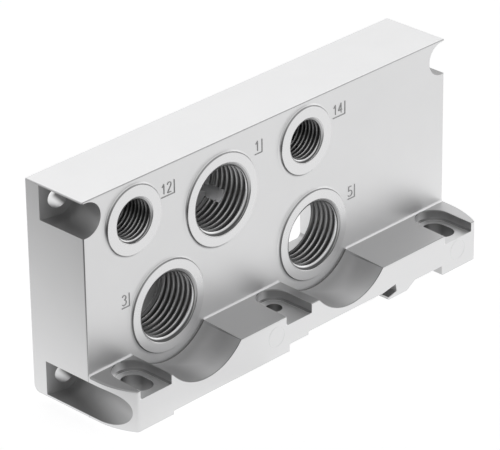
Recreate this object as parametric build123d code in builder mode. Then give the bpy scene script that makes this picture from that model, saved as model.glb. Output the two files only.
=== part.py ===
from build123d import *
import os
from math import asin, atan2, cos, degrees, radians, sin

# End plate of a valve manifold: one die-cast aluminium piece, machined at its ports and its back face.
# Millimetres. X runs along the length and the ports open towards -Y. The part stands on the pads under its
# foot at Z = 0, and the origin is the middle of its footprint there.

# Plate, with a flat back that seals on the first valve base
length = 138.0
plate_thickness = 21.2
plate_height = 62.6
outer_edge_radius = 0.4
back_foot_radius = 2.0

# Foot along the bottom of the front, its top falling a little towards its front edge
foot_reach = 14.7
foot_height_at_wall = 12.5
foot_height_at_front = 12.0
foot_left_end_radius = 22.0
foot_right_end_radius = 26.0
foot_end_start = 3.0
foot_corner_radius = 0.8
junction_radius = 0.6

# Threaded ports: G 1/2 in the three main ports, G 1/4 in the two pilot ports.
# Each bore has the outer radius of its thread, and the hole drilled for it goes on behind it.
# Port 5 is shallow, because the supply duct passes behind it. Depths are measured from the plate's front.
main_bore_radius = 10.4775
main_drill_radius = 9.5
main_thread_depth = 13.4
main_drill_depth = 17.0
port_5_thread_depth = 10.5
pilot_bore_radius = 6.5785
pilot_drill_radius = 5.9
pilot_thread_depth = 12.0
pilot_drill_depth = 14.0

# Raised round faces of the ports, their sides spreading a little towards the wall
boss_height = 0.8
main_boss_radius = 13.0
pilot_boss_radius = 9.6
boss_spread = 0.5

# Places of the ports: 12, 1 and 14 hang from the top, 3 and 5 stand in the lower row
supply_x = -19.5
supply_drop = 17.1
pilot_spread = 32.1
pilot_drop = 11.2
exhaust_3_x = -40.2
exhaust_5_x = 15.3
exhaust_z = 22.0

# Round hollows in the foot that clear the fittings screwed into ports 3 and 5
scoop_clearance = 3.2

# Exhaust ducts, one each side of the middle, from ports 3 and 5 to the back face.
# The duct of port 3 is wider, to reach the end of its bore.
exhaust_duct_inner_x = 15.5
exhaust_5_duct_outer_x = 32.8
exhaust_3_duct_outer_x = 38.0
exhaust_duct_floor = 7.2
exhaust_duct_top = 23.8
exhaust_duct_arch_radius = 7.4
duct_corner_radius = 1.8
exhaust_3_duct_depth = 5.0
exhaust_5_duct_depth = 11.2

# Supply duct: a chamber beside port 1, a shaft down past the end of port 5, and a mouth in the back face
# between the exhaust ducts
supply_duct_half_width = 11.7
supply_chamber_drop = 3.7
supply_chamber_height = 7.3
supply_chamber_front_wall = 7.5
supply_chamber_back_wall = 5.0
supply_shaft_height = 3.5
supply_mouth_floor = 12.0
supply_mouth_depth = 8.2

# Pilot ducts, round, from ports 12 and 14 to the back face
pilot_duct_radius = 2.6

# Corner screws, leaning outwards so that a driver reaches them past the ports.
# Each head sits in a channel that is open at the end and at the front.
screw_lean = 15.0
screw_hole_radius = 2.75
screw_channel_radius = 4.96
screw_seat_depth = 6.27
screw_seat_inset = 5.1
top_screw_drop = 5.5
bottom_screw_rise = 5.7

# Counterbored slots for the mounting screws, open at the front of the foot
slot_inset = 10.0
slot_half_width = 3.3
slot_offset = 6.0
slot_travel = 3.0
slot_seat_radius = 5.6
slot_seat_height = 9.4

# Counterbored hole for the screw that draws up the rail clamp
clamp_hole_radius = 2.3
clamp_hole_offset = 5.3
clamp_seat_radius = 4.9
clamp_seat_height = 9.3

# Slope at the foot of the wall round each of these seats, as wide as it is high
seat_corner = 0.5

# Underside: a pad at each end and, between them, the seat of a 35 mm top-hat rail that runs along Y.
# A hook holds the right flange of the rail, and the clamp sits in a pocket at the left one.
end_pad_width = 16.3
pad_rise = 1.0
rail_x = 15.8
rail_width = 35.0
rail_seat_height = 4.0
clamp_pocket_width = 7.4
clamp_pocket_height = 3.1
hook_gap_length = 5.3
hook_gap_rise = 0.95
hook_gap_height = 2.35
hook_gap_lean = 0.3
hook_tip_inset = 2.9
hook_tip_height = 1.8
hook_width = 7.4
relief_slope_width = 3.4
relief_height = 3.05

# Planes and lines that follow from these sizes
half_length = length / 2
back_y = (plate_thickness + foot_reach) / 2
wall_y = back_y - plate_thickness
foot_front_y = wall_y - foot_reach
scoop_radius = main_boss_radius + scoop_clearance
boss_lean = degrees(atan2(boss_spread, boss_height))
supply_z = plate_height - supply_drop
pilot_z = plate_height - pilot_drop
port_1 = (supply_x, supply_z)
port_3 = (exhaust_3_x, exhaust_z)
port_5 = (exhaust_5_x, exhaust_z)
port_12 = (supply_x - pilot_spread, pilot_z)
port_14 = (supply_x + pilot_spread, pilot_z)
bosses = [
    (port_1, main_boss_radius),
    (port_3, main_boss_radius),
    (port_5, main_boss_radius),
    (port_12, pilot_boss_radius),
    (port_14, pilot_boss_radius),
]
bores = [
    (port_1, main_bore_radius, main_thread_depth),
    (port_1, main_drill_radius, main_drill_depth),
    (port_3, main_bore_radius, main_thread_depth),
    (port_3, main_drill_radius, main_drill_depth),
    (port_5, main_bore_radius, port_5_thread_depth),
    (port_12, pilot_bore_radius, pilot_thread_depth),
    (port_12, pilot_drill_radius, pilot_drill_depth),
    (port_14, pilot_bore_radius, pilot_thread_depth),
    (port_14, pilot_drill_radius, pilot_drill_depth),
]
exhaust_ducts = [
    (-exhaust_3_duct_outer_x, -exhaust_duct_inner_x, exhaust_3_duct_depth),
    (exhaust_duct_inner_x, exhaust_5_duct_outer_x, exhaust_5_duct_depth),
]
slot_x = half_length - slot_inset
rail_left_x = rail_x - rail_width / 2
rail_right_x = rail_x + rail_width / 2
clamp_x = rail_left_x - clamp_pocket_width / 2
seats = [
    (-slot_x, slot_offset, slot_seat_radius, slot_seat_height),
    (slot_x, slot_offset, slot_seat_radius, slot_seat_height),
    (clamp_x, clamp_hole_offset, clamp_seat_radius, clamp_seat_height),
]


def facing_front(depth):
    """Sketch plane this far behind the plate's front, X to the right, Z up; extrusion comes forward."""
    return Plane.XZ.offset(-(wall_y + depth))


def screw_plane(side, height):
    """Seat of a corner screw on side -1 or +1: the normal leans outwards, X points to the end face."""
    lean = radians(screw_lean)
    seat = (side * (half_length - screw_seat_inset), back_y - screw_seat_depth, height)
    outward = (side * cos(lean), sin(lean), 0)
    return Plane(origin=seat, x_dir=outward, z_dir=(side * sin(lean), -cos(lean), 0))


def seat_outline(x, offset, radius):
    """Outline of a screw head's seat in the foot: round towards the wall, and open at the foot's front."""
    with Locations((x, wall_y - offset)):
        Circle(radius)
        Rectangle(2 * radius, foot_reach, align=(Align.CENTER, Align.MAX))


with BuildPart() as end_plate:
    # Foot: its plan, with ends that curve in, under a top that falls to the front
    with BuildSketch():
        with BuildLine():
            bend_y = wall_y - foot_end_start
            left_turn = degrees(asin((foot_reach - foot_end_start) / foot_left_end_radius))
            right_turn = degrees(asin((foot_reach - foot_end_start) / foot_right_end_radius))
            left_bend = (-half_length, bend_y)
            right_bend = (half_length, bend_y)
            Polyline(left_bend, (-half_length, back_y), (half_length, back_y), right_bend)
            left_end = JernArc(left_bend, (0, -1), foot_left_end_radius, left_turn)
            right_end = JernArc(right_bend, (0, -1), foot_right_end_radius, -right_turn)
            Line(left_end @ 1, right_end @ 1)
        plan = make_face()
        fillet(plan.vertices().group_by(Axis.Y)[0], foot_corner_radius)
    extrude(amount=foot_height_at_wall)
    fall = foot_height_at_wall - foot_height_at_front
    foot_top = Plane(origin=(0, wall_y, foot_height_at_wall), x_dir=(1, 0, 0), z_dir=(0, -fall, foot_reach))
    split(bisect_by=foot_top, keep=Keep.BOTTOM)

    # Plate, standing on the back of the foot
    with BuildSketch(facing_front(plate_thickness)):
        Rectangle(length, plate_height, align=(Align.CENTER, Align.MIN))
    extrude(amount=plate_thickness)
    junction = end_plate.edges().filter_by(Axis.X).sort_by_distance((0, wall_y, foot_height_at_wall))[0]
    fillet(junction, junction_radius)
    back_foot = end_plate.edges().filter_by(Axis.X).sort_by_distance((0, back_y, 0))[0]
    fillet(back_foot, back_foot_radius)

    # Rounded outer edge: round the top, down the front corners and round the top of the foot
    top_face = end_plate.faces().sort_by(Axis.Z)[-1]
    foot_middle = (0, (wall_y + foot_front_y) / 2, foot_height_at_wall)
    foot_face = end_plate.faces().sort_by_distance(foot_middle)[0]
    wall_edges = end_plate.edges().filter_by(lambda edge: abs(edge.center().Y - wall_y) < junction_radius)
    outline = wall_edges.filter_by(Axis.X, reverse=True)
    outline += top_face.edges().sort_by(Axis.Y)[:-1] + foot_face.edges().sort_by(Axis.Y)[:-1]
    fillet(outline, outer_edge_radius)

    # Hollows in the foot in front of ports 3 and 5
    with BuildSketch(facing_front(0)):
        with Locations(port_3, port_5):
            Circle(scoop_radius)
    extrude(amount=foot_reach, mode=Mode.SUBTRACT)

    # Raised round faces of the ports
    for place, radius in bosses:
        with BuildSketch(facing_front(0)):
            with Locations(place):
                Circle(radius + boss_spread)
        extrude(amount=boss_height, taper=boss_lean)

    # Bores of the ports, from the raised face around each
    for place, radius, depth in bores:
        with BuildSketch(facing_front(-boss_height)):
            with Locations(place):
                Circle(radius)
        extrude(amount=-(boss_height + depth), mode=Mode.SUBTRACT)

    # Exhaust ducts, with arched tops
    for left, right, depth in exhaust_ducts:
        with BuildSketch(facing_front(plate_thickness)):
            with Locations((left, exhaust_duct_floor)):
                Rectangle(right - left, exhaust_duct_top - exhaust_duct_floor, align=(Align.MIN, Align.MIN))
            fillet(vertices().group_by(Axis.Y)[-1], exhaust_duct_arch_radius)
            fillet(vertices().group_by(Axis.Y)[0], duct_corner_radius)
        extrude(amount=depth, mode=Mode.SUBTRACT)

    # Supply chamber, the shaft below it and the mouth
    chamber_floor = supply_z - supply_chamber_drop - supply_chamber_height
    chamber_depth = plate_thickness - supply_chamber_back_wall - supply_chamber_front_wall
    shaft_depth = supply_mouth_depth - supply_chamber_back_wall
    mouth_top = chamber_floor - supply_shaft_height
    with BuildSketch(facing_front(plate_thickness - supply_chamber_back_wall)):
        with Locations((0, chamber_floor)):
            Rectangle(2 * supply_duct_half_width, supply_chamber_height, align=(Align.CENTER, Align.MIN))
    extrude(amount=chamber_depth, mode=Mode.SUBTRACT)
    with BuildSketch(facing_front(plate_thickness - supply_chamber_back_wall)):
        with Locations((0, mouth_top)):
            Rectangle(2 * supply_duct_half_width, supply_shaft_height, align=(Align.CENTER, Align.MIN))
    extrude(amount=shaft_depth, mode=Mode.SUBTRACT)
    with BuildSketch(facing_front(plate_thickness)):
        with Locations((0, mouth_top)):
            mouth_height = mouth_top - supply_mouth_floor
            Rectangle(2 * supply_duct_half_width, mouth_height, align=(Align.CENTER, Align.MAX))
        fillet(vertices().group_by(Axis.Y)[0], duct_corner_radius)
    extrude(amount=supply_mouth_depth, mode=Mode.SUBTRACT)

    # Pilot ducts
    with BuildSketch(facing_front(plate_thickness)):
        with Locations(port_12, port_14):
            Circle(pilot_duct_radius)
    extrude(amount=plate_thickness - pilot_drill_depth, mode=Mode.SUBTRACT)

    # Corner screws: a channel in front of each seat, out to the end face, and a hole behind it
    for side in (-1, 1):
        for height in (bottom_screw_rise, plate_height - top_screw_drop):
            seat = screw_plane(side, height)
            with BuildSketch(seat):
                Circle(screw_channel_radius)
                Rectangle(length, 2 * screw_channel_radius, align=(Align.MIN, Align.CENTER))
            extrude(amount=plate_thickness + foot_reach, mode=Mode.SUBTRACT)
            with BuildSketch(seat):
                Circle(screw_hole_radius)
            extrude(amount=-2 * screw_seat_depth, mode=Mode.SUBTRACT)

    # Seats for the heads of the mounting screws and of the clamp screw
    for x, offset, radius, height in seats:
        with BuildSketch(Plane.XY.offset(height)):
            seat_outline(x, offset, radius - seat_corner)
        extrude(amount=seat_corner, taper=-45, mode=Mode.SUBTRACT)
        with BuildSketch(Plane.XY.offset(height + seat_corner)):
            seat_outline(x, offset, radius)
        extrude(amount=foot_height_at_wall, mode=Mode.SUBTRACT)

    # Mounting slots through the floor of their seats
    with BuildSketch():
        for side in (-1, 1):
            with Locations((side * slot_x, wall_y - slot_offset - slot_travel / 2)):
                SlotCenterToCenter(slot_travel, 2 * slot_half_width, rotation=90)
    extrude(amount=slot_seat_height, mode=Mode.SUBTRACT)

    # Clamp screw's hole, down to the clamp's pocket
    with BuildSketch():
        with Locations((clamp_x, wall_y - clamp_hole_offset)):
            Circle(clamp_hole_radius)
    extrude(amount=clamp_seat_height, mode=Mode.SUBTRACT)

    # Underside, the same all the way through from front to back
    with BuildSketch(facing_front(plate_thickness)):
        with BuildLine():
            gap_top = rail_seat_height + hook_gap_rise
            hook_tip_x = rail_right_x - hook_tip_inset
            Polyline(
                (end_pad_width - half_length, -pad_rise),
                (end_pad_width - half_length, pad_rise),
                (rail_left_x - clamp_pocket_width, pad_rise),
                (rail_left_x - clamp_pocket_width, clamp_pocket_height),
                (rail_left_x, clamp_pocket_height),
                (rail_left_x, rail_seat_height),
                (rail_right_x - hook_gap_length, rail_seat_height),
                (rail_right_x, gap_top),
                (rail_right_x + hook_gap_lean, gap_top - hook_gap_height),
                (hook_tip_x, hook_tip_height),
                (hook_tip_x, pad_rise),
                (hook_tip_x + hook_width, pad_rise),
                (hook_tip_x + hook_width + relief_slope_width, relief_height),
                (half_length - end_pad_width, relief_height),
                (half_length - end_pad_width, -pad_rise),
                close=True,
            )
        make_face()
    extrude(amount=plate_thickness + foot_reach, mode=Mode.SUBTRACT)

end_plate.part.label = "end_plate"
os.makedirs("parts", exist_ok=True)
export_step(end_plate.part, "parts/end_plate.step")
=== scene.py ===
from math import cos, pi, radians, sin

import bpy
import numpy as np
from mathutils import Matrix, Vector


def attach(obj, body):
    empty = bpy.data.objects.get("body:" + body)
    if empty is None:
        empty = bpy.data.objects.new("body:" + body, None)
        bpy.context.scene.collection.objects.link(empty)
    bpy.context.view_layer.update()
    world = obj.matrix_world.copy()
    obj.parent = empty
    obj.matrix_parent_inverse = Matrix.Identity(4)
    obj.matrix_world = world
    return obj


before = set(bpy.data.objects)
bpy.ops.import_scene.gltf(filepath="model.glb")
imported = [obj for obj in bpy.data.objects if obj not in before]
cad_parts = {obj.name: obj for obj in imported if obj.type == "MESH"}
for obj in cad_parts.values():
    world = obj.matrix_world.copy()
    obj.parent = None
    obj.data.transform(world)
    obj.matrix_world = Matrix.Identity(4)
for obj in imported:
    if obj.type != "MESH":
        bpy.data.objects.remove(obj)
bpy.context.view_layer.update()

# Valve end plate, in metres, in the frame of the CAD model: ports open towards -Y, +Z up.

# The plate's front, the raised faces round the ports, the front of the foot, and the plate's back
WALL_Y = -0.00325
FACE_Y = -0.00405
FOOT_Y = -0.01795
BACK_Y = 0.01795

# How near to a surface a point counts as lying on it: as a rule, at the seats and at edges, and on the
# port faces
SKIN = 0.00003
EDGE_SKIN = 0.00002
FACE_SKIN = 0.00004

# Places of the ports on the front, as X and Z
PORT_1 = (-0.0195, 0.0455)
PORT_3 = (-0.0402, 0.0220)
PORT_5 = (0.0153, 0.0220)
PORT_12 = (-0.0516, 0.0514)
PORT_14 = (0.0126, 0.0514)
MAIN_FACE_RADIUS = 0.0130
PILOT_FACE_RADIUS = 0.0096

FACES = ((PORT_1, MAIN_FACE_RADIUS), (PORT_3, MAIN_FACE_RADIUS), (PORT_5, MAIN_FACE_RADIUS),
         (PORT_12, PILOT_FACE_RADIUS), (PORT_14, PILOT_FACE_RADIUS))

# G 1/2 thread of the three main ports and G 1/4 thread of the two pilot ports: the radii of its roots and
# crests and of the hole drilled before it is cut, its pitch and length, and the columns of its grid
MAIN_MAJOR = 0.0104775
MAIN_MINOR = 0.0093155
MAIN_DRILL = 0.0095
MAIN_PITCH = 0.001814
MAIN_LENGTH = 0.0142
MAIN_COLUMNS = 160
PILOT_MAJOR = 0.0065785
PILOT_MINOR = 0.0057225
PILOT_DRILL = 0.0059
PILOT_PITCH = 0.001337
PILOT_LENGTH = 0.0128
PILOT_COLUMNS = 128

# Port 5 opens straight into its duct, which leaves a shorter thread
SHORT_LENGTH = 0.0108

# How far the threads stay clear of the bores, how steep the chamfer at the mouth is, and rows per turn
THREAD_CLEARANCE = 0.00004
CHAMFER_SLOPE = 1.7
ROWS_PER_TURN = 14

# The window that the supply chamber opens in port 1
WINDOW_X = -0.0117
WINDOW_TOP = 0.0418
WINDOW_Y = 0.00425


def new_piece(name, points, quads, material):
    """Makes an object from an array of points, an array of quads and a material."""
    mesh = bpy.data.meshes.new(name)
    mesh.from_pydata(points.tolist(), [], quads.tolist())
    mesh.materials.append(material)
    piece = bpy.data.objects.new(name, mesh)
    bpy.context.scene.collection.objects.link(piece)
    return piece


def put_mesh(name, points, quads, material, body="root"):
    """Makes one smooth-shaded piece of the plate."""
    piece = new_piece(name, points, quads, material)
    piece.data.polygons.foreach_set("use_smooth", np.ones(len(quads), bool))
    piece.data.update()
    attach(piece, body)


def grid_quads(rows, columns, closed):
    """Quads of a grid of points, joined across its last column where it is closed."""
    across = columns if closed else columns - 1
    row, column = np.meshgrid(np.arange(rows - 1), np.arange(across), indexing="ij")
    following = (column + 1) % columns
    corners = (row * columns + column, row * columns + following,
               (row + 1) * columns + following, (row + 1) * columns + column)
    return np.stack([corner.ravel() for corner in corners], axis=1)


def ridge_height(turns, pitch, depth):
    """Height of a rounded 55 degree thread at a count of turns along its helix.

    A triangle wave, 1 in the middle of each turn and 0 between turns, is scaled to the height of the
    sharp thread, 0.9605 pitch, lowered so that equal tips are cut off at root and crest, and averaged
    over a tenth of a turn, which rounds both.
    """
    sharp = 0.9605 * pitch
    height = np.zeros_like(turns)
    shifts = np.linspace(-0.05, 0.05, 5)
    for shift in shifts:
        wave = 1 - np.abs(2 * ((turns + shift) % 1) - 1)
        height += np.clip(sharp * wave - (sharp - depth) / 2, 0, depth)
    return height / len(shifts)


def thread(name, place, major, minor, drill, pitch, length, columns, window=False):
    """Threaded wall of a port, a grid over the angle round its axis and the depth behind its face.

    The radius is the major radius less the height of the ridge, which turns to the right with depth.
    A steep chamfer limits the ridge at the mouth. Over the last turn the root comes in to the radius of
    the drilled hole. The ridge has no height inside the window, where its quads are left out.
    """
    angles = np.linspace(0, 2 * pi, columns, endpoint=False)
    depths = np.linspace(0, length, int(ROWS_PER_TURN * length / pitch) + 1)
    if window:
        angles, depths = window_lines(angles, depths, place, major)
    angle, depth = np.meshgrid(angles, depths)
    height = ridge_height(depth / pitch + angle / (2 * pi), pitch, major - minor)
    height = np.minimum(height, CHAMFER_SLOPE * depth)
    if drill is not None:
        run_out = np.clip((depth - (length - pitch)) / pitch, 0, 1)
        height = np.maximum(height, run_out * (major - drill))
    x = place[0] + major * np.cos(angle)
    z = place[1] + major * np.sin(angle)
    y = FACE_Y + depth
    inside = np.zeros(angle.shape, bool)
    if window:
        inside = (x > WINDOW_X) & (z < WINDOW_TOP) & (y > WINDOW_Y)
    radius = major - THREAD_CLEARANCE - np.where(inside, 0, height)
    points = np.stack([place[0] + radius * np.cos(angle), y, place[1] + radius * np.sin(angle)], axis=-1)
    quads = grid_quads(len(depths), len(angles), closed=True)
    quads = quads[~inside.ravel()[quads].all(axis=1)]
    metal = thread_material(name + "_metal", place, major, minor, length)
    put_mesh(name, points.reshape(-1, 3), quads, metal)


def window_lines(angles, depths, place, major):
    """Adds a pair of close grid lines at each edge of the window, so that the ridges end sharply there."""
    gap = 0.0005
    edges = [-np.arccos((WINDOW_X - place[0]) / major), np.arcsin((WINDOW_TOP - place[1]) / major)]
    extra = [(edge + side * gap) % (2 * pi) for edge in edges for side in (-1, 1)]
    front = WINDOW_Y - FACE_Y
    return np.union1d(angles, extra), np.union1d(depths, [front - gap * major, front + gap * major])


def grey(tone):
    """Colour of bare aluminium at a tone from 0 to 1, a trace cooler than neutral."""
    return (tone, tone, tone * 1.005, 1.0)


class Nodes:
    """Short calls to build a material's nodes and link them in one go.

    A mask is a value that is 1 in one place of the object and 0 elsewhere.
    """

    def __init__(self, name=None, tree=None):
        if tree is None:
            self.material = bpy.data.materials.new(name)
            self.material.use_nodes = True
            tree = self.material.node_tree
        self.tree = tree
        self.tree.nodes.clear()

    def add(self, kind, inputs=(), **settings):
        node = self.tree.nodes.new(kind)
        for key, value in settings.items():
            setattr(node, key, value)
        for key, value in dict(inputs).items():
            if isinstance(value, bpy.types.NodeSocket):
                self.tree.links.new(value, node.inputs[key])
            else:
                node.inputs[key].default_value = value
        return node

    def math(self, operation, first, second=0.0):
        return self.add("ShaderNodeMath", {0: first, 1: second}, operation=operation).outputs[0]

    def chain(self, operation, values):
        """Carries an operation through some values, from the first to the last."""
        result = values[0]
        for value in values[1:]:
            result = self.math(operation, result, value)
        return result

    def largest(self, *values):
        """The largest of some values: of masks, where any of them is 1."""
        return self.chain("MAXIMUM", values)

    def product(self, *values):
        """The product of some values: of masks, where all of them are 1."""
        return self.chain("MULTIPLY", values)

    def total(self, *values):
        """The sum of some values."""
        return self.chain("ADD", values)

    def less(self, first, second):
        """The first value less the second."""
        return self.math("SUBTRACT", first, second)

    def above(self, value, limit):
        return self.math("GREATER_THAN", value, limit)

    def below(self, value, limit):
        return self.math("LESS_THAN", value, limit)

    def between(self, value, low, high):
        """1 from low to high, 0 elsewhere."""
        return self.product(self.above(value, low), self.below(value, high))

    def ramp(self, value, start, end):
        """0 before the start, 1 past the end, smooth between. The end may be lower than the start."""
        inputs = {"Value": value, "From Min": start, "From Max": end}
        return self.add("ShaderNodeMapRange", inputs, interpolation_type="SMOOTHSTEP").outputs[0]

    def position(self):
        """Object coordinates and their three parts."""
        place = self.add("ShaderNodeTexCoord").outputs["Object"]
        return place, self.add("ShaderNodeSeparateXYZ", {0: place}).outputs

    def box(self, parts, **ranges):
        """1 inside the given ranges of X, Y and Z."""
        return self.product(*[self.between(parts[axis], *ends) for axis, ends in ranges.items()])

    def length(self, first, second):
        """Length of the line with these two parts."""
        return self.math("SQRT", self.total(*[self.product(part, part) for part in (first, second)]))

    def distance(self, parts, place):
        """Distance from a port's axis."""
        return self.length(self.less(parts["X"], place[0]), self.less(parts["Z"], place[1]))

    def along(self, place, direction):
        """How far a place lies in a direction."""
        inputs = {0: place, 1: direction}
        return self.add("ShaderNodeVectorMath", inputs, operation="DOT_PRODUCT").outputs["Value"]

    def noise(self, place, scale, detail=2.0, roughness=0.5):
        inputs = {"Vector": place, "Scale": scale, "Detail": detail, "Roughness": roughness}
        return self.add("ShaderNodeTexNoise", inputs).outputs["Fac"]

    def streaks(self, scale, detail=2.0, **parts):
        """Noise that changes only with the given parts, which draws it out in lines."""
        return self.noise(self.add("ShaderNodeCombineXYZ", parts).outputs[0], scale, detail)

    def mix(self, factor, first, second):
        """Blends two colours, each given as a socket or as a grey tone."""
        first, second = [grey(color) if isinstance(color, float) else color for color in (first, second)]
        inputs = {"Factor": factor, 6: first, 7: second}
        return self.add("ShaderNodeMix", inputs, data_type="RGBA").outputs[2]

    def layers(self, color, pairs):
        """Lays colours over a first one in turn, each where its mask is 1."""
        for mask, over in pairs:
            color = self.mix(mask, color, over)
        return color

    def seen_directly(self):
        """1 for rays from the camera, or by way of gloss or glass."""
        path = self.add("ShaderNodeLightPath").outputs
        return self.largest(path["Is Camera Ray"], path["Is Glossy Ray"], path["Is Transmission Ray"])

    def bump(self, height, strength):
        inputs = {"Height": height, "Strength": strength, "Distance": 0.00002}
        return self.add("ShaderNodeBump", inputs).outputs[0]

    def emission(self, strength, tone=1.0):
        inputs = {"Color": (tone, tone, tone, 1), "Strength": strength}
        return self.add("ShaderNodeEmission", inputs).outputs[0]

    def mix_shader(self, factor, first, second):
        return self.add("ShaderNodeMixShader", {0: factor, 1: first, 2: second}).outputs[0]

    def metal(self, color, roughness, normal=None):
        """Finishes the material as bare metal."""
        inputs = {"Base Color": color, "Roughness": roughness, "Metallic": 1.0}
        if normal is not None:
            inputs["Normal"] = normal
        shader = self.add("ShaderNodeBsdfPrincipled", inputs).outputs[0]
        self.add("ShaderNodeOutputMaterial", {"Surface": shader})
        return self.material


# How far behind its port's face the bands at the start of a thread end: the rim of the mouth, with its
# painted highlight, the chamfer, with its painted shade, the painted shade line behind it, and the first
# crest, with its painted highlight. The last is how far before the end painted shade darkens the thread.
RIM_END = 0.00015
CHAMFER_END = 0.00042
SHADE_LINE_END = 0.0006
FIRST_CREST_END = 0.0015
THREAD_END_FADE = (0.0012, 0.0006)

# Tones of a thread, on the crests and in the roots, and of its bands, all painted light and shade: painted
# shade inside the port, darkest in the roots low down and towards the thread's end, and painted highlights
# on the crests low down, on the first crest and on the rim
CREST_SHADE_TONE = 0.40
LOW_CREST_HIGHLIGHT_TONES = (0.86, 1.0)
MAIN_ROOT_SHADE_TONE = 0.39
PILOT_ROOT_SHADE_TONE = 0.14
LOW_ROOT_SHADE_TONE = 0.20
THREAD_END_SHADE_TONE = 0.20
FIRST_CREST_HIGHLIGHT_TONE = 0.88
SHADE_LINE_TONE = 0.12
CHAMFER_SHADE_TONE = 0.45
RIM_HIGHLIGHT_TONE = 0.70


def thread_material(name, place, major, minor, length):
    """Cut thread with light and shade painted on: painted highlights along its crests, painted shade in its
    roots, grey painted shade in the chamfer at the mouth.

    The crests' painted highlight is brightest low in the port. The first crest has a brighter painted
    highlight than the others, the line before it a darker painted shade than the other roots, and the rim a
    painted highlight; painted shade darkens the thread towards its end.
    """
    nodes = Nodes(name)
    parts = nodes.position()[1]
    radius = nodes.distance(parts, place)
    depth = nodes.less(parts["Y"], FACE_Y)
    ridge = major - minor
    crest = nodes.ramp(radius, major - 0.92 * ridge, minor)
    upper_half = nodes.ramp(radius, major - 0.45 * ridge, major - 0.75 * ridge)
    low = nodes.ramp(parts["Z"], place[1] - 0.15 * major, place[1] - 0.75 * major)
    first = nodes.between(depth, SHADE_LINE_END, FIRST_CREST_END)
    line = nodes.between(depth, CHAMFER_END, SHADE_LINE_END)
    before_first = nodes.product(first, nodes.less(1.0, upper_half))
    cutting = nodes.streaks(9000.0, X=radius, Y=parts["Y"])
    crest_highlight = nodes.mix(low, CREST_SHADE_TONE, nodes.mix(cutting, *LOW_CREST_HIGHLIGHT_TONES))
    root_shade_tone = MAIN_ROOT_SHADE_TONE if major == MAIN_MAJOR else PILOT_ROOT_SHADE_TONE
    # Painted shade over roots and crests, painted highlights on the low crests, first crest and rim, painted
    # shade in the bands
    color = nodes.layers(nodes.mix(low, root_shade_tone, LOW_ROOT_SHADE_TONE), (
        (crest, crest_highlight),
        (nodes.ramp(depth, *[length - fade for fade in THREAD_END_FADE]), THREAD_END_SHADE_TONE),
        (nodes.product(first, upper_half), FIRST_CREST_HIGHLIGHT_TONE),
        (nodes.largest(line, before_first), SHADE_LINE_TONE),
        (nodes.below(depth, CHAMFER_END), CHAMFER_SHADE_TONE),
        (nodes.below(depth, RIM_END), RIM_HIGHLIGHT_TONE),
    ))
    polish = nodes.product(low, crest, 0.20)
    roughness = nodes.less(nodes.total(nodes.product(cutting, 0.10), 0.30), polish)
    return nodes.metal(color, roughness, nodes.bump(cutting, 0.25))


# Seats for screw heads in the foot: X and Y of the middle, the radius, and the height of the floor. Then
# how high the slope at the foot of their walls is, how far the walls flare, and the height of their top.
SEATS = ((-0.059, -0.00925, 0.0056, 0.0094), (0.059, -0.00925, 0.0056, 0.0094),
         (-0.0054, -0.00855, 0.0049, 0.0093))
SEAT_SLOPE = 0.0005
SEAT_FLARE = 0.00005
SEAT_TOP = 0.01205

# The slots, on both sides of the middle, and the clamp screw's hole below their seats, in X and Y, and the
# heights between which they are seen
SLOTS = {"X": (0.0556, 0.0624), "Y": (-0.0157, -0.0058)}
CLAMP_HOLE = {"X": (-0.0078, -0.0030), "Y": (-0.0110, -0.0061)}
FOOT_HOLES_Z = (0.0032, 0.00928)

# Channels of the corner screws: a seat's distance from the middle of the plate, its depth, the lean of its
# axis, the radii of channel and hole, and the heights of the lower and upper pair
SCREW_X = 0.0639
SCREW_Y = 0.01168
SCREW_LEAN = radians(15)
SCREW_CHANNEL_RADIUS = 0.00496
SCREW_HOLE_RADIUS = 0.00275
SCREW_HEIGHTS = (0.0057, 0.0571)

# The hollows in the foot before ports 3 and 5: their walls lie between these distances from the port's
# axis, and below this height
HOLLOW_RADII = (0.0161, 0.0163)
HOLLOW_TOP = 0.0125

# The foot's sloping top, the faces under the foot, the drilled ends behind the threads, and the end of
# port 1 with the chamber behind its window
FOOT_TOP_Z = (0.01185, 0.0127)
UNDERSIDE = {"X": (-0.03, 0.06), "Y": (FOOT_Y + 0.0003, 0.0178), "Z": (0.0003, 0.0085)}
DRILLED_Y = (0.0066, 0.0178)
CHAMBER = {"X": (-0.0295, 0.004), "Y": (0.0043, 0.0178), "Z": (0.031, 0.057)}

# Where the rounded edges along the top and at the ends of the plate's front begin
UPPER_EDGE_Z = 0.06236
END_EDGE_X = 0.06876

# The axis from which the cutter's arcs on the back are struck, as X and Z
MILLING_CENTRE = (-0.16, 0.02)

# Tones of the casting, plain first and then where it has a tone of its own, most of them painted light and
# shade, as said at each. A pair is the range of its mottling or of its tool marks, and for the hollows the
# tones on the left and on the right.
SATIN_TONES = (0.71, 0.75)
GRAIN_TONE = 0.80
# Painted light: the casting lighter low on the plate, towards the foot
LOW_PAINTED_LIGHT_TONE = 0.86
# Painted shade on the foot's sloping top, deeper towards the left
FOOT_TOP_SHADE_TONE = 0.385
# Painted shade on the left and back parts of the hollows before ports 3 and 5
HOLLOW_SHADE_TONES = (0.48, 0.53)
# Painted shade on the steps and slopes under the foot
UNDERSIDE_SHADE_TONE = 0.54
# Painted shade line where the hollows meet the wall
HOLLOW_CORNER_SHADE_TONE = 0.15
# Painted shade line along the rounded edges of the plate's front and the front edge of the foot's top
EDGE_SHADE_TONE = 0.22
# Painted shade on the right walls of the foot's seats and inside the slots and the clamp screw's hole
POCKET_SHADE_TONES = (0.29, 0.37)
# Painted shade in the channels of the corner screws
CHANNEL_SHADE_TONES = (0.40, 0.48)
# Painted light on parts of those channels
CHANNEL_PAINTED_LIGHT_TONE = 0.58
SCREW_HOLE_TONE = 0.64
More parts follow.
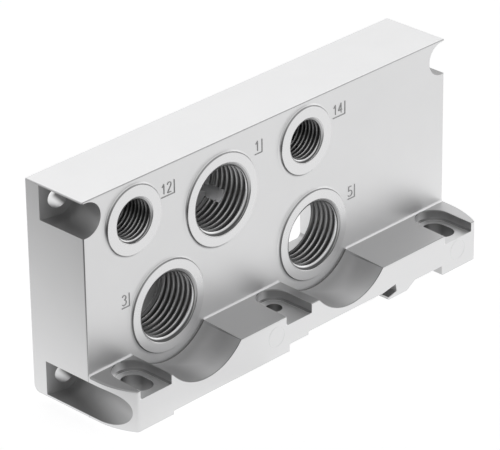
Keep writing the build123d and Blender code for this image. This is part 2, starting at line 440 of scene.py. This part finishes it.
# Painted shade deep in the holes behind the channels
SCREW_HOLE_SHADE_TONE = 0.10
SEAT_FLOOR_TONE = 0.76
# Painted light on the left walls of the foot's seats
SEAT_LEFT_LIGHT_TONE = 0.95
# Painted shade on the slopes at the foot of the seats' walls
SEAT_SLOPE_SHADE_TONE = 0.16
# Painted light in the chamber behind port 1's window
CHAMBER_LIGHT_TONE = 0.85
# Painted shade on the drilled walls and ends behind the threads
DRILLED_SHADE_TONES = (0.18, 0.26)
# Painted shade on the sides of the ports' raised faces
FACE_SIDE_SHADE_TONE = 0.12
TURNED_TONES = (0.70, 0.80)
MILLED_TONES = (0.56, 0.68)


def cast_material():
    """Die-cast aluminium with a satin finish, its port faces cut bright and its pockets left rough as cast.

    Light and shade are painted into its colour: painted shade in its pockets, hollows and holes, on the
    foot's top and under the foot, along edges and on the sides of the port faces, and painted light low on
    the plate, on the left walls of the seats, in parts of the screw channels and in the chamber behind port
    1.
    """
    nodes = Nodes("satin_cast_aluminium")
    point, parts = nodes.position()
    grain = nodes.noise(point, 3200.0, detail=3.0, roughness=0.6)
    mottle = nodes.noise(point, 90.0, detail=3.0)
    low = nodes.ramp(parts["Z"], 0.042, 0.012)
    to_left = nodes.ramp(parts["X"], -0.035, -0.05)
    to_right = nodes.ramp(parts["X"], -0.02, 0.0)
    faces, shaded_face_sides, rings = port_faces(nodes, parts)
    turned = nodes.streaks(7000.0, X=rings)
    back, arcs = milled_back(nodes, parts)
    hollows, shaded_hollow_corners = hollow_painted_shades(nodes, parts)
    seat_floors, lit_seat_lefts, shaded_seat_rights, shaded_seat_slopes = screw_seats(nodes, parts)
    channels, painted_light_channels = screw_channels(nodes, parts)
    screw_holes, shaded_screw_holes = corner_screw_holes(nodes, parts)
    chamber = nodes.box(parts, **CHAMBER)
    shaded_foot_top = nodes.product(nodes.between(parts["Z"], *FOOT_TOP_Z),
                             nodes.below(parts["Y"], WALL_Y - 0.0005))
    # Mottled satin and grain, then painted light and shade, then the cut port faces and the milled back
    color = nodes.layers(nodes.mix(mottle, *SATIN_TONES), (
        (nodes.product(grain, 0.2), GRAIN_TONE),
        (nodes.product(low, 0.6), LOW_PAINTED_LIGHT_TONE),
        (nodes.product(shaded_foot_top, nodes.total(nodes.product(to_left, 0.32), 0.68)), FOOT_TOP_SHADE_TONE),
        (hollows, nodes.mix(to_right, *HOLLOW_SHADE_TONES)),
        (shaded_underside(nodes, parts), UNDERSIDE_SHADE_TONE),
        (shaded_hollow_corners, HOLLOW_CORNER_SHADE_TONE),
        (nodes.product(edge_shade_lines(nodes, parts), 0.6), EDGE_SHADE_TONE),
        (nodes.largest(shaded_seat_rights, shaded_foot_holes(nodes, parts)), nodes.mix(mottle, *POCKET_SHADE_TONES)),
        (channels, nodes.mix(mottle, *CHANNEL_SHADE_TONES)),
        (painted_light_channels, CHANNEL_PAINTED_LIGHT_TONE),
        (screw_holes, SCREW_HOLE_TONE),
        (shaded_screw_holes, SCREW_HOLE_SHADE_TONE),
        (seat_floors, SEAT_FLOOR_TONE),
        (lit_seat_lefts, SEAT_LEFT_LIGHT_TONE),
        (shaded_seat_slopes, SEAT_SLOPE_SHADE_TONE),
        (chamber, CHAMBER_LIGHT_TONE),
        (shaded_drilled_ends(nodes, parts), nodes.mix(mottle, *DRILLED_SHADE_TONES)),
        (nodes.product(shaded_face_sides, 0.75), FACE_SIDE_SHADE_TONE),
        (faces, nodes.mix(turned, *TURNED_TONES)),
        (back, nodes.mix(arcs, *MILLED_TONES)),
    ))
    coarse = nodes.largest(nodes.product(low, 0.11), nodes.product(channels, 0.25),
                           nodes.product(chamber, 0.3))
    roughness = nodes.total(nodes.product(grain, 0.08), 0.29, coarse)
    roughness = nodes.less(roughness, nodes.product(faces, 0.12))
    height = nodes.total(nodes.product(grain, nodes.less(1.0, faces)), nodes.product(turned, faces, 0.5),
                         nodes.product(back, arcs))
    return nodes.metal(color, roughness, nodes.bump(height, 0.12))


def port_faces(nodes, parts):
    """1 on the raised faces of the ports, 1 on their sides, where painted shade goes, and the distance from
    the port on its face.
    """
    level = nodes.between(parts["Y"], FACE_Y - FACE_SKIN, FACE_Y + FACE_SKIN)
    raised = nodes.between(parts["Y"], FACE_Y - 0.0001, WALL_Y - 0.00035)
    faces, sides, rings = [], [], []
    for place, edge in FACES:
        radius = nodes.distance(parts, place)
        face = nodes.product(nodes.below(radius, edge + EDGE_SKIN), level)
        faces.append(face)
        sides.append(nodes.product(nodes.below(radius, edge + 0.0006), raised, nodes.less(1.0, face)))
        rings.append(nodes.product(radius, face))
    return nodes.total(*faces), nodes.total(*sides), nodes.total(*rings)


def shaded_drilled_ends(nodes, parts):
    """1 on the drilled walls and ends of ports 3, 12 and 14, behind their threads, where painted shade goes.
    """
    inside = [nodes.below(nodes.distance(parts, place), edge - 0.0024)
              for place, edge in (FACES[1], FACES[3], FACES[4])]
    return nodes.product(nodes.largest(*inside), nodes.between(parts["Y"], *DRILLED_Y))


def screw_frame(nodes, parts):
    """Distances in the leaning frame of a corner screw: outwards from its axis, and ahead of its seat."""
    sideways = nodes.less(nodes.math("ABSOLUTE", parts["X"]), SCREW_X)
    forwards = nodes.less(SCREW_Y, parts["Y"])
    outwards = nodes.less(nodes.product(sideways, cos(SCREW_LEAN)), nodes.product(forwards, sin(SCREW_LEAN)))
    ahead = nodes.total(nodes.product(sideways, sin(SCREW_LEAN)), nodes.product(forwards, cos(SCREW_LEAN)))
    return outwards, ahead


def screw_channels(nodes, parts):
    """1 on the walls and seats of the four channels of the corner screws, which get painted shade, and 1 on
    their parts with painted light.

    A channel is round towards the middle of the plate and open at the end. Painted light lies on its seat
    towards the end of the plate, and high up at the front of the lower channels.
    """
    outwards, ahead = screw_frame(nodes, parts)
    inwards = nodes.math("MINIMUM", outwards, 0.0)
    inside = [nodes.below(nodes.length(nodes.less(parts["Z"], height), inwards), SCREW_CHANNEL_RADIUS + SKIN)
              for height in SCREW_HEIGHTS]
    channels = nodes.product(nodes.largest(*inside), nodes.above(ahead, -SKIN))
    painted_light_seat = nodes.product(nodes.below(ahead, SKIN), nodes.ramp(outwards, 0.0005, 0.0045))
    level = nodes.less(parts["Z"], SCREW_HEIGHTS[0])
    painted_light_front = nodes.product(nodes.below(level, 0.006), nodes.ramp(level, -0.0034, -0.0006),
                                nodes.ramp(ahead, 0.010, 0.024))
    return channels, nodes.product(channels, nodes.largest(painted_light_seat, painted_light_front))


def corner_screw_holes(nodes, parts):
    """1 inside the holes behind the channels, and 1 on their walls above the bottom and before the back,
    where painted shade darkens them.
    """
    outwards, ahead = screw_frame(nodes, parts)
    holes, dark = [], []
    for height in SCREW_HEIGHTS:
        level = nodes.less(parts["Z"], height)
        near = nodes.below(nodes.length(level, outwards), SCREW_HOLE_RADIUS + SKIN)
        hole = nodes.product(near, nodes.below(ahead, -SKIN))
        holes.append(hole)
        dark.append(nodes.product(hole, nodes.ramp(level, -0.0027, -0.0017),
                                  nodes.ramp(ahead, -0.0066, -0.0050)))
    return nodes.largest(*holes), nodes.largest(*dark)


def screw_seats(nodes, parts):
    """1 on the floors, on the left walls, on the right walls and on the slopes of the foot's seats.

    A seat's wall is round behind its middle and straight before it. Its left part gets painted light, its
    right part and the slope at its foot painted shade.
    """
    floors, lefts, rights, slopes = [], [], [], []
    for x, y, radius, floor_z in SEATS:
        across = nodes.less(parts["X"], x)
        away = nodes.length(across, nodes.largest(nodes.less(parts["Y"], y), 0.0))
        wall = nodes.product(nodes.between(away, radius - 0.0006, radius + SEAT_FLARE),
                             nodes.between(parts["Z"], floor_z + EDGE_SKIN, SEAT_TOP))
        right = nodes.ramp(across, -0.2 * radius, 0.5 * radius)
        shaded = nodes.ramp(across, -0.5 * radius, 0.1 * radius)
        floors.append(nodes.product(nodes.below(away, radius),
                                    nodes.between(parts["Z"], floor_z - EDGE_SKIN, floor_z + EDGE_SKIN)))
        lefts.append(nodes.product(wall, nodes.less(1.0, right)))
        rights.append(nodes.product(wall, right))
        low = nodes.below(parts["Z"], floor_z + SEAT_SLOPE + EDGE_SKIN)
        slopes.append(nodes.product(wall, shaded, low))
    return [nodes.largest(*masks) for masks in (floors, lefts, rights, slopes)]


def shaded_foot_holes(nodes, parts):
    """1 inside the two mounting slots and the clamp screw's hole, under their seats, where painted shade
    goes.
    """
    either_side = {"X": nodes.math("ABSOLUTE", parts["X"]), "Y": parts["Y"]}
    both = nodes.largest(nodes.box(either_side, **SLOTS), nodes.box(parts, **CLAMP_HOLE))
    return nodes.product(both, nodes.between(parts["Z"], *FOOT_HOLES_Z))


def shaded_underside(nodes, parts):
    """1 on the steps and slopes under the foot, between the ports' hollows and behind the foot's front,
    which get painted shade.
    """
    beside_hollow = nodes.above(nodes.distance(parts, PORT_5), HOLLOW_RADII[1] + 0.0002)
    return nodes.product(nodes.box(parts, **UNDERSIDE), beside_hollow)


def hollow_painted_shades(nodes, parts):
    """1 on the left and back parts of the hollows before ports 3 and 5, which get painted shade, and 1 where
    they meet the wall, which gets a darker painted shade line.
    """
    back = nodes.product(nodes.ramp(parts["Y"], -0.0120, -0.0045), 0.9)
    shades, hollows = [], []
    for place in (PORT_3, PORT_5):
        hollow = nodes.between(nodes.distance(parts, place), *HOLLOW_RADII)
        left = nodes.ramp(parts["X"], place[0] + 0.004, place[0] - 0.004)
        hollows.append(hollow)
        shades.append(nodes.product(hollow, nodes.largest(left, back)))
    low = nodes.below(parts["Z"], HOLLOW_TOP)
    ahead = nodes.below(parts["Y"], WALL_Y - 0.0002)
    corner = nodes.between(parts["Y"], WALL_Y - 0.0005, WALL_Y - EDGE_SKIN)
    return (nodes.product(nodes.largest(*shades), low, ahead),
            nodes.product(nodes.largest(*hollows), low, corner))


def milled_back(nodes, parts):
    """1 on the back face, and the wavy height of the arcs that its cutter left there."""
    arcs = nodes.streaks(1600.0, detail=3.0, X=nodes.distance(parts, MILLING_CENTRE))
    return nodes.above(parts["Y"], BACK_Y - SKIN), arcs


def edge_shade_lines(nodes, parts):
    """1 along the rounded edges of the plate's front, and along the front edge of the foot's top, where a
    painted shade line goes.
    """
    end = nodes.above(nodes.math("ABSOLUTE", parts["X"]), END_EDGE_X)
    upper = nodes.above(parts["Z"], UPPER_EDGE_Z)
    plate_edge = nodes.product(nodes.between(parts["Y"], WALL_Y + 0.00004, WALL_Y + 0.00022),
                               nodes.largest(upper, end))
    hollows = [nodes.below(nodes.distance(parts, place), HOLLOW_RADII[1]) for place in (PORT_3, PORT_5)]
    foot_edge = nodes.product(nodes.between(parts["Y"], FOOT_Y + 0.00001, FOOT_Y + 0.0003),
                              nodes.above(parts["Z"], 0.0003),
                              nodes.largest(*hollows, nodes.above(parts["Z"], 0.0119)))
    return nodes.largest(plate_edge, foot_edge)


def shaded_mark_material():
    """The satin metal darkened with painted shade, in the raised strokes of the marks."""
    nodes = Nodes("number_mark")
    grain = nodes.noise(nodes.position()[0], 2500.0)
    return nodes.metal(nodes.mix(grain, 0.30, 0.45), 0.35)


def blend_ring(name, place, radius, material):
    """Concave blend from the side of a port's raised face to the wall, swept round the port's axis.

    Its profile is part of an ellipse that leaves the wall flat and ends steep on the raised face's side.
    """
    reach, rise, last = 0.0008, 0.0006, radians(70)
    rows, columns = 9, 160
    round_axis = np.linspace(0, 2 * pi, columns, endpoint=False)
    angle, turn = np.meshgrid(np.linspace(0, last, rows), round_axis, indexing="ij")
    outer = radius + 0.00022 + reach * sin(last)
    away = outer - reach * np.sin(angle)
    y = WALL_Y - 0.00001 - rise * (1 - np.cos(angle))
    points = np.stack([place[0] + away * np.cos(turn), y, place[1] + away * np.sin(turn)], axis=-1)
    quads = grid_quads(rows, columns, closed=True)[:, ::-1]
    put_mesh(name, points.reshape(-1, 3), quads, material)


def arc(centre, radius, start, end, count=14):
    """Points on a circle from a start to an end angle in degrees."""
    turn = np.radians(np.linspace(start, end, count))
    return [(centre[0] + radius * cos(a), centre[1] + radius * sin(a)) for a in turn]


# Strokes of the digits, in a box 1.5 wide and 2.9 high
DIGITS = {
    "1": [[(0.15, 2.1), (0.85, 2.9), (0.85, 0.0)]],
    "2": [arc((0.7, 2.2), 0.7, 170, -40) + [(0.05, 0.0)], [(0.0, 0.0), (1.45, 0.0)]],
    "3": [arc((0.7, 2.2), 0.68, 160, -90), arc((0.68, 0.78), 0.78, 90, -150)],
    "4": [[(1.05, 0.0), (1.05, 2.9), (0.0, 0.9), (1.5, 0.9)]],
    "5": [[(1.35, 2.9), (0.2, 2.9), (0.12, 1.6)] + arc((0.65, 0.88), 0.88, 125, -150)],
}

# Number marks on the wall: the number, and the X and Z of the corner where its two lines meet, in
# millimetres
MARKS = [
    ("12", -36.5, 53.7),
    ("1", -3.85, 53.8),
    ("14", 28.4, 53.8),
    ("5", 32.3, 27.25),
    ("3", -53.7, 27.2),
]

# Their lettering, in millimetres: the step from digit to digit, the gaps beside the digits, before them and
# over the line under them, and the height of the line up their right side
DIGIT_STEP = 2.05
SIDE_GAP = 0.75
FIRST_GAP = 0.25
LINE_GAP = 0.75
LINE_HEIGHT = 3.85
MILLIMETRE = 0.001

# Half the width and the height of a number's strokes and of a pin mark's rim, in metres
MARK_STROKE = (0.00017, 0.00018)
PIN_STROKE = (0.00012, 0.00006)

# Rims of the two round marks that the mould's pins left on the foot's front, in millimetres
PIN_MARKS = (("pin_mark_left", (-14.04, 7.39)), ("pin_mark_right", (58.99, 5.82)))
PIN_RADIUS = 2.97


def stroke(path, level, half_width, top):
    """Raised stroke along a path on a face at this Y, as an array of points and one of quads.

    Across the path the point runs over half an ellipse, from one edge of the stroke over its top to the
    other. Near each end, width and height shrink as the half circle does, which rounds the end.
    """
    path = np.array(path) * MILLIMETRE
    runs = np.hypot(*np.diff(path, axis=0).T)
    along = np.concatenate([[0], np.cumsum(runs)])
    steps = np.linspace(0, along[-1], int(along[-1] / 0.00006) + 2)
    middle = np.stack([np.interp(steps, along, path[:, axis]) for axis in (0, 1)], axis=1)
    ahead = np.gradient(middle, axis=0)
    ahead /= np.hypot(*ahead.T)[:, None]
    across = np.stack([ahead[:, 1], -ahead[:, 0]], axis=1)
    to_end = np.clip(np.minimum(steps, steps[-1] - steps) / half_width, 0.02, 1)
    size = np.sqrt(1 - (1 - to_end) ** 2)
    turn = np.linspace(0, pi, 9)
    spread = half_width * size[:, None] * np.cos(turn)
    points = np.empty((len(steps), len(turn), 3))
    points[..., 0] = middle[:, None, 0] + across[:, None, 0] * spread
    points[..., 1] = level - top * size[:, None] * np.sin(turn)
    points[..., 2] = middle[:, None, 1] + across[:, None, 1] * spread
    return points.reshape(-1, 3), grid_quads(len(steps), len(turn), closed=False)


def number_mark(number, corner_x, corner_z, material):
    """A port's number, with a line under it and a line up its right side."""
    left = corner_x - DIGIT_STEP * len(number) - SIDE_GAP
    paths = [[(left, corner_z), (corner_x, corner_z), (corner_x, corner_z + LINE_HEIGHT)]]
    for place, digit in enumerate(number):
        start = left + FIRST_GAP + place * DIGIT_STEP
        for path in DIGITS[digit]:
            paths.append([(start + x, corner_z + LINE_GAP + z) for x, z in path])
    points, quads, count = [], [], 0
    for path in paths:
        some_points, some_quads = stroke(path, WALL_Y, *MARK_STROKE)
        points.append(some_points)
        quads.append(some_quads + count)
        count += len(some_points)
    put_mesh("mark_" + number, np.concatenate(points), np.concatenate(quads), material)


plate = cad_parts["end_plate"]
satin_cast = cast_material()
plate.data.materials.clear()
plate.data.materials.append(satin_cast)

for number, (place, radius) in zip(("1", "3", "5", "12", "14"), FACES):
    blend_ring("blend_" + number, place, radius, satin_cast)

MAIN_RADII = (MAIN_MAJOR, MAIN_MINOR, MAIN_DRILL)
PILOT_RADII = (PILOT_MAJOR, PILOT_MINOR, PILOT_DRILL)
thread("thread_1", PORT_1, *MAIN_RADII, MAIN_PITCH, MAIN_LENGTH, MAIN_COLUMNS, window=True)
thread("thread_3", PORT_3, *MAIN_RADII, MAIN_PITCH, MAIN_LENGTH, MAIN_COLUMNS)
thread("thread_5", PORT_5, MAIN_MAJOR, MAIN_MINOR, None, MAIN_PITCH, SHORT_LENGTH, MAIN_COLUMNS)
thread("thread_12", PORT_12, *PILOT_RADII, PILOT_PITCH, PILOT_LENGTH, PILOT_COLUMNS)
thread("thread_14", PORT_14, *PILOT_RADII, PILOT_PITCH, PILOT_LENGTH, PILOT_COLUMNS)

shaded_mark_metal = shaded_mark_material()
for number, corner_x, corner_z in MARKS:
    number_mark(number, corner_x, corner_z, shaded_mark_metal)

for name, centre in PIN_MARKS:
    points, quads = stroke(arc(centre, PIN_RADIUS, -200, 159, 60), FOOT_Y, *PIN_STROKE)
    put_mesh(name, points, quads, satin_cast)

# The camera's direction and tilt, in degrees, the point that it looks at, its distance and its lens
CAMERA_TURN = -45.476
CAMERA_RISE = 27.115
CAMERA_ROLL = -0.736
CAMERA_AIM = Vector((-0.003454, 0.001988, 0.029964))
CAMERA_DISTANCE = 0.9407
CAMERA_LENS = 251.87

# The curtain: its radius, its tone, how much lighter it is higher up, its tone at the rim, and the angles
# from the camera's side between which it changes to that
CURTAIN_RADIUS = 0.6
CURTAIN_TONE = 0.58
CURTAIN_UPPER = 0.35
CURTAIN_RIM = 1.5
CURTAIN_DARK = radians(79)
CURTAIN_END = radians(103)

# The side towards which the white table that the metal sees fades, how far out it starts and ends, and its
# tone there
TABLE_SIDE = (-0.944, -0.33, 0.0)
TABLE_FADE = 0.05
TABLE_END = 0.17
TABLE_TONE = 0.1

# The floor: half its width, its height, its own tone, and what is added where it is seen directly
FLOOR_REACH = 3.0
FLOOR_Z = -0.0001
FLOOR_TONE = 0.85
FLOOR_LIFT = 0.75

# Levels of the white world: as soft light, and as it is seen
SOFT_LEVEL = 0.3
SEEN_LEVEL = 1.0


def floor_piece():
    """Large pale floor, seen as white apart from the soft shadow on it.

    The metal sees it as a white table that ends on the camera's side, in the dark under the curtain.
    """
    corners = np.array([(-1, -1), (1, -1), (1, 1), (-1, 1)]) * FLOOR_REACH
    points = np.column_stack([corners, np.full(4, FLOOR_Z)])
    nodes = Nodes("pale_floor")
    paper = nodes.add("ShaderNodeBsdfDiffuse", {"Color": grey(FLOOR_TONE)}).outputs[0]
    lift = nodes.mix_shader(nodes.seen_directly(), nodes.emission(0.0, 0.0), nodes.emission(FLOOR_LIFT))
    seen = nodes.add("ShaderNodeAddShader", {0: paper, 1: lift}).outputs[0]
    fade = nodes.ramp(nodes.along(nodes.position()[0], TABLE_SIDE), TABLE_FADE, TABLE_END)
    table = nodes.emission(nodes.less(1.0, nodes.product(fade, 1.0 - TABLE_TONE)))
    gloss = nodes.add("ShaderNodeLightPath").outputs["Is Glossy Ray"]
    nodes.add("ShaderNodeOutputMaterial", {"Surface": nodes.mix_shader(gloss, seen, table)})
    stage_piece("floor", points, np.array([(0, 1, 2, 3)]), nodes.material)


def stage_piece(name, points, quads, material):
    """Puts a piece of the studio into the scene, not part of the object."""
    piece = new_piece(name, points, quads, material)
    return piece


def camera_side():
    """Unit vector from the object to the camera."""
    turn, rise = radians(CAMERA_TURN), radians(CAMERA_RISE)
    return Vector((sin(turn) * cos(rise), -cos(turn) * cos(rise), sin(rise)))


def dark_curtain():
    """Dark curtain on the camera's side of the studio, seen only in the gloss of the metal.

    It is part of a sphere: one parameter is the angle from the camera's side, the other goes round it.
    Towards its rim it fades into the white studio.
    """
    side = camera_side()
    level = side.orthogonal().normalized()
    upright = side.cross(level)
    rows, columns = 40, 72
    round_side = np.linspace(0, 2 * pi, columns, endpoint=False)
    angle, turn = np.meshgrid(np.linspace(0.01, 1.9, rows), round_side, indexing="ij")
    points = np.zeros(angle.shape + (3,))
    for axis, reach in ((side, np.cos(angle)), (level, np.sin(angle) * np.cos(turn)),
                        (upright, np.sin(angle) * np.sin(turn))):
        points += CURTAIN_RADIUS * reach[..., None] * np.array(axis)
    nodes = Nodes("dark_curtain")
    place, parts = nodes.position()
    towards = nodes.math("DIVIDE", nodes.along(place, tuple(side)), CURTAIN_RADIUS)
    rim = nodes.ramp(towards, cos(CURTAIN_DARK), cos(CURTAIN_END))
    upper = nodes.ramp(parts["Z"], 0.5 * CURTAIN_RADIUS, 0.85 * CURTAIN_RADIUS)
    upper = nodes.product(upper, nodes.less(1.0, rim))
    strength = nodes.total(nodes.product(rim, CURTAIN_RIM - CURTAIN_TONE), CURTAIN_TONE,
                           nodes.product(upper, CURTAIN_UPPER))
    nodes.add("ShaderNodeOutputMaterial", {"Surface": nodes.emission(strength)})
    quads = grid_quads(rows, columns, closed=True)
    curtain = stage_piece("curtain", points.reshape(-1, 3), quads, nodes.material)
    curtain.visible_camera = False
    curtain.visible_diffuse = False
    curtain.visible_transmission = False
    curtain.visible_shadow = False


def area_light(name, place, aim, size, power):
    """Square softbox at a place, facing its aim."""
    light = bpy.data.lights.new(name, "AREA")
    light.size = size
    light.energy = power
    lamp = bpy.data.objects.new(name, light)
    bpy.context.scene.collection.objects.link(lamp)
    lamp.location = place
    lamp.rotation_euler = (Vector(aim) - Vector(place)).to_track_quat("-Z", "Y").to_euler()


def white_world():
    """White studio as the camera, gloss and glass see it, and a lower level for soft light on the floor."""
    world = bpy.data.worlds.new("studio")
    bpy.context.scene.world = world
    world.use_nodes = True
    nodes = Nodes(tree=world.node_tree)
    dim, white = [nodes.add("ShaderNodeBackground", {"Color": (1, 1, 1, 1), "Strength": level}).outputs[0]
                  for level in (SOFT_LEVEL, SEEN_LEVEL)]
    nodes.add("ShaderNodeOutputWorld", {"Surface": nodes.mix_shader(nodes.seen_directly(), dim, white)})


def photo_camera():
    """Long-lens camera at the photograph's angle, tilted a little to the side as the photograph is."""
    roll = radians(CAMERA_ROLL)
    back = camera_side()
    level = (-back).cross(Vector((0, 0, 1))).normalized()
    upright = level.cross(-back)
    right = cos(roll) * level + sin(roll) * upright
    up = -sin(roll) * level + cos(roll) * upright
    camera = bpy.data.cameras.new("camera")
    camera.sensor_width = 36
    camera.lens = CAMERA_LENS
    camera.clip_start = 0.01
    eye = bpy.data.objects.new("camera", camera)
    bpy.context.scene.collection.objects.link(eye)
    axes = Matrix((right, up, back)).transposed().to_4x4()
    eye.matrix_world = Matrix.Translation(CAMERA_AIM + CAMERA_DISTANCE * back) @ axes
    bpy.context.scene.camera = eye


floor_piece()
dark_curtain()
area_light("overhead", place=(0.8, 0.8, 0.6), aim=(0, 0, 0.03), size=0.9, power=0.2)
white_world()
photo_camera()
bpy.context.scene.view_settings.view_transform = "Standard"
